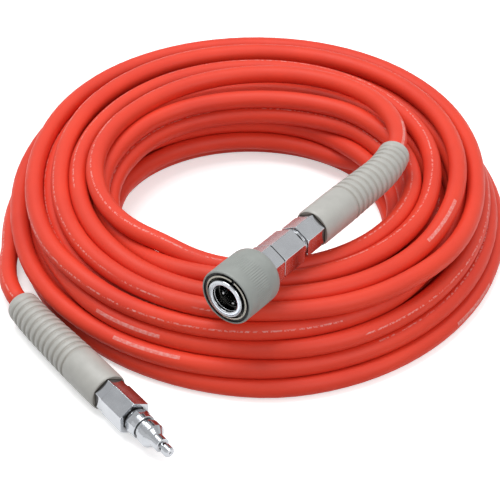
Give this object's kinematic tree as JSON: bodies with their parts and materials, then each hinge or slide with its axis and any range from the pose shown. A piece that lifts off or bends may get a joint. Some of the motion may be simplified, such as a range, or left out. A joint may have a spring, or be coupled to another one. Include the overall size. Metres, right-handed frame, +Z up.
{
  "type": "coiled air hose",
  "caption": "Long air hose laid in a flat pile of loops, with a swivelling plug at its outer end, a swivelling quick-release socket at its inner end and ribbed strain relief sleeves.",
  "frame": {"origin": "On the floor, under the middle of the whole part's outline seen from above; the middle of the pile of loops is at x 3 mm, y 24 mm.", "axes": "+Z up from the floor through the pile; the plug and the mouth of the socket point to -Y, the hose starts and ends on the -X side."},
  "size_m": [0.2787, 0.3261, 0.0763],
  "materials": {
    "hose_red": "satin polyurethane",
    "sleeve_plastic": "milky, slightly see-through flexible plastic",
    "plated_steel": "satin plated",
    "cover_grey": "matt grey, knurled",
    "seal_rubber": "matt black",
    "spring_steel": "drawn wire",
    "poppet_dark": "dark satin",
    "ball_steel": "polished"
  },
  "bodies": {
    "hose": {"hose_coil": "hose_red", "hose_plug_run": "hose_red", "hose_socket_run": "hose_red", "hose_plug_tail": "hose_red", "hose_socket_tail": "hose_red", "plug_strain_sleeve": "sleeve_plastic", "plug_clamp_nut": "plated_steel", "plug_hose_nipple": "plated_steel", "socket_strain_sleeve": "sleeve_plastic", "socket_clamp_nut": "plated_steel", "socket_hose_nipple": "plated_steel"},
    "plug": {"plug_body": "plated_steel", "plug_swivel_oring": "seal_rubber", "plug_swivel_wire": "spring_steel"},
    "socket_head": {"socket_adapter": "plated_steel", "socket_body": "plated_steel", "plug_packing": "seal_rubber", "valve_seat": "plated_steel", "snap_ring": "spring_steel", "socket_swivel_oring": "seal_rubber", "socket_swivel_wire": "spring_steel", "valve_spring": "spring_steel", "sleeve_spring": "spring_steel"},
    "release_sleeve": {"lock_sleeve": "plated_steel", "sleeve_cover": "cover_grey"},
    "valve": {"valve_poppet": "poppet_dark", "valve_seal": "seal_rubber"},
    "ball_1": {"lock_ball_1": "ball_steel"},
    "ball_2": {"lock_ball_2": "ball_steel"},
    "ball_3": {"lock_ball_3": "ball_steel"},
    "ball_4": {"lock_ball_4": "ball_steel"},
    "ball_5": {"lock_ball_5": "ball_steel"},
    "ball_6": {"lock_ball_6": "ball_steel"}
  },
  "joints": [
    {"name": "plug_swivel", "type": "hinge", "parent": "hose", "child": "plug", "pos_m": [-0.05471, -0.13719, 0.0104], "axis": [0.6018, -0.7986, 0], "continuous": true},
    {"name": "socket_swivel", "type": "hinge", "parent": "hose", "child": "socket_head", "pos_m": [0.02415, -0.06061, 0.05943], "axis": [-0.6014, -0.7981, 0.0349], "continuous": true},
    {"name": "sleeve_slide", "type": "slide", "parent": "socket_head", "child": "release_sleeve", "axis": [0.6014, 0.7981, -0.0349], "range_m": [0, 0.0045], "stiffness_N_per_m": 1500, "springref_m": -0.002, "deforming": ["sleeve_spring"]},
    {"name": "valve_slide", "type": "slide", "parent": "socket_head", "child": "valve", "axis": [0.6014, 0.7981, -0.0349], "range_m": [0, 0.005], "stiffness_N_per_m": 400, "springref_m": -0.003, "deforming": ["valve_spring"]},
    {"name": "ball_1_slide", "type": "slide", "parent": "socket_head", "child": "ball_1", "axis": [-0.021, -0.0279, -0.9994], "range_m": [0, 0.00095]},
    {"name": "ball_2_slide", "type": "slide", "parent": "socket_head", "child": "ball_2", "axis": [0.6811, -0.5351, -0.4997], "range_m": [0, 0.00095]},
    {"name": "ball_3_slide", "type": "slide", "parent": "socket_head", "child": "ball_3", "axis": [0.7021, -0.5073, 0.4997], "range_m": [0, 0.00095]},
    {"name": "ball_4_slide", "type": "slide", "parent": "socket_head", "child": "ball_4", "axis": [0.021, 0.0279, 0.9994], "range_m": [0, 0.00095]},
    {"name": "ball_5_slide", "type": "slide", "parent": "socket_head", "child": "ball_5", "axis": [-0.6811, 0.5351, 0.4997], "range_m": [0, 0.00095]},
    {"name": "ball_6_slide", "type": "slide", "parent": "socket_head", "child": "ball_6", "axis": [-0.7021, 0.5073, -0.4997], "range_m": [0, 0.00095]}
  ],
  "couplings": [
    {"joint": "ball_1_slide", "follows": "sleeve_slide", "ratio": 0.211},
    {"joint": "ball_2_slide", "follows": "sleeve_slide", "ratio": 0.211},
    {"joint": "ball_3_slide", "follows": "sleeve_slide", "ratio": 0.211},
    {"joint": "ball_4_slide", "follows": "sleeve_slide", "ratio": 0.211},
    {"joint": "ball_5_slide", "follows": "sleeve_slide", "ratio": 0.211},
    {"joint": "ball_6_slide", "follows": "sleeve_slide", "ratio": 0.211}
  ]
}
